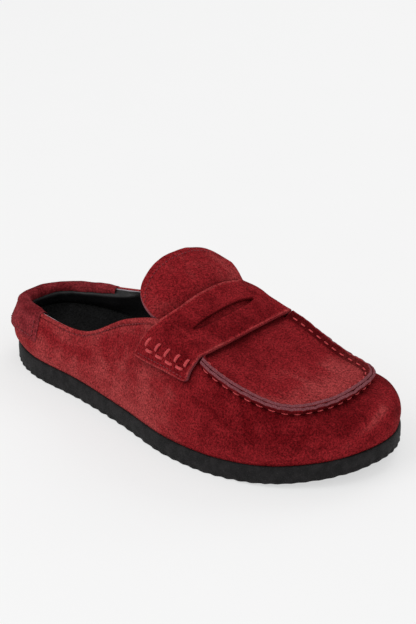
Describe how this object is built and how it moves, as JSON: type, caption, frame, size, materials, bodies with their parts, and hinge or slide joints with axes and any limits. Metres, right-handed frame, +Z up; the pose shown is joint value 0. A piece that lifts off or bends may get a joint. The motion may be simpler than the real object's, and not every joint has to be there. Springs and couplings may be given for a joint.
{
  "type": "penny loafer",
  "caption": "Backless suede penny loafer for the right foot, with a raised apron seam, slotted strap, open tongue, moulded footbed and flat foam sole.",
  "frame": {"origin": "middle of the shoe's bounding box on the ground", "axes": "+Z up, toe towards -Y, +X towards the inner (medial) side of the foot"},
  "size_m": [0.1209, 0.2944, 0.1044],
  "materials": {
    "suede_red": "brick red suede with a soft nap",
    "suede_dark": "darker red suede on the heel patch",
    "thread_red": "bright red waxed thread",
    "lining_black": "smooth black lining leather",
    "footbed_suede": "black suede footbed cover",
    "foam_black": "matt black moulded foam",
    "cork": "fine ground cork",
    "board_fibre": "pressed fibre board",
    "stiffener": "pale thermoplastic sheet",
    "pad_foam": "open-cell padding foam"
  },
  "bodies": {
    "shoe": {"outsole": "foam_black", "bottom_filler": "cork", "lasting_board": "board_fibre", "footbed_core": "cork", "footbed_cover": "footbed_suede", "upper_wall": "suede_red", "heel_counter": "stiffener", "toe_puff": "stiffener", "heel_collar_pad": "pad_foam", "quarter_lining": "lining_black", "vamp_lining": "lining_black", "apron": "suede_red", "apron_lining": "lining_black", "strap": "suede_red", "heel_patch": "suede_dark", "topline_stitch_lateral": "thread_red", "topline_stitch_medial": "thread_red", "heel_patch_stitch": "thread_red", "strap_edge_stitch_lateral": "thread_red", "strap_edge_stitch_medial": "thread_red", "strap_ladder_stitch_lateral": "thread_red", "strap_ladder_stitch_medial": "thread_red", "apron_seam_thread": "thread_red"},
    "tongue_flap": {"tongue": "suede_red", "tongue_lining": "lining_black", "tongue_edge_stitch": "thread_red"}
  },
  "joints": [
    {"name": "tongue_flex", "type": "hinge", "parent": "shoe", "child": "tongue_flap", "pos_m": [0, -0.0095, 0.0915], "axis": [1, 0, 0], "range_deg": [0, 22], "stiffness_Nm_per_rad": 0.02}
  ]
}
